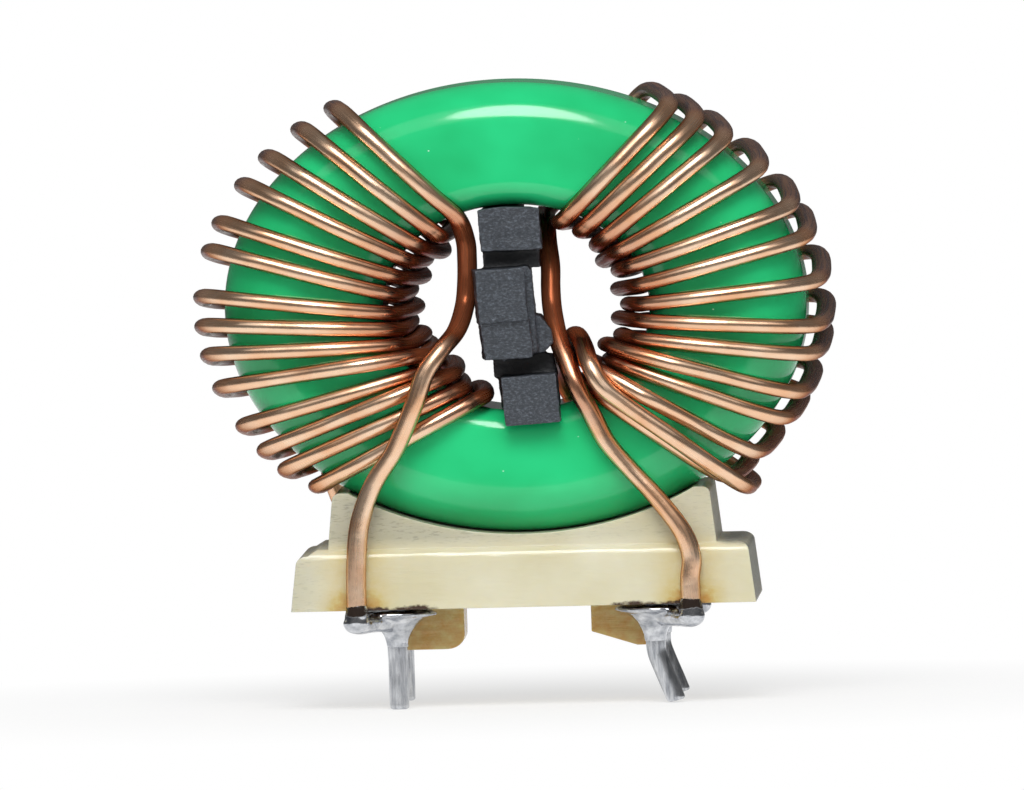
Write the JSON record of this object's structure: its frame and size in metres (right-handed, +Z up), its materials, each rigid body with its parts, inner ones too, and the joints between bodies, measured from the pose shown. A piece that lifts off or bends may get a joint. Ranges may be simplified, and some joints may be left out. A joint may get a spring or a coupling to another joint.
{
  "type": "toroidal inductor",
  "caption": "Common-mode toroidal inductor: coated ferrite ring with two copper wire coils and a separator, standing on a moulded base with pins.",
  "frame": {"origin": "centre of the four pins, in the board plane that the feet stand on", "axes": "+X to the right along the flange, -Y out of the front of the ring, +Z up, away from the board"},
  "size_m": [0.0324, 0.0171, 0.0407],
  "materials": {
    "green_coat": "glossy epoxy coat over ferrite",
    "copper_wire": "enamelled copper, glossy",
    "black_moulding": "moulded, satin with scuffs",
    "ivory_moulding": "moulded nylon, matt, stained by flux",
    "tinned_pin": "tinned, dull",
    "solder": "solder, dull silver"
  },
  "bodies": {
    "root": {"coated_core": "green_coat", "winding_left": "copper_wire", "winding_right": "copper_wire", "separator": "black_moulding", "base": "ivory_moulding", "pin_front_left": "tinned_pin", "pin_front_right": "tinned_pin", "pin_rear_left": "tinned_pin", "pin_rear_right": "tinned_pin", "solder_front_left": "solder", "solder_front_right": "solder", "solder_rear_left": "solder", "solder_rear_right": "solder"}
  },
  "joints": []
}
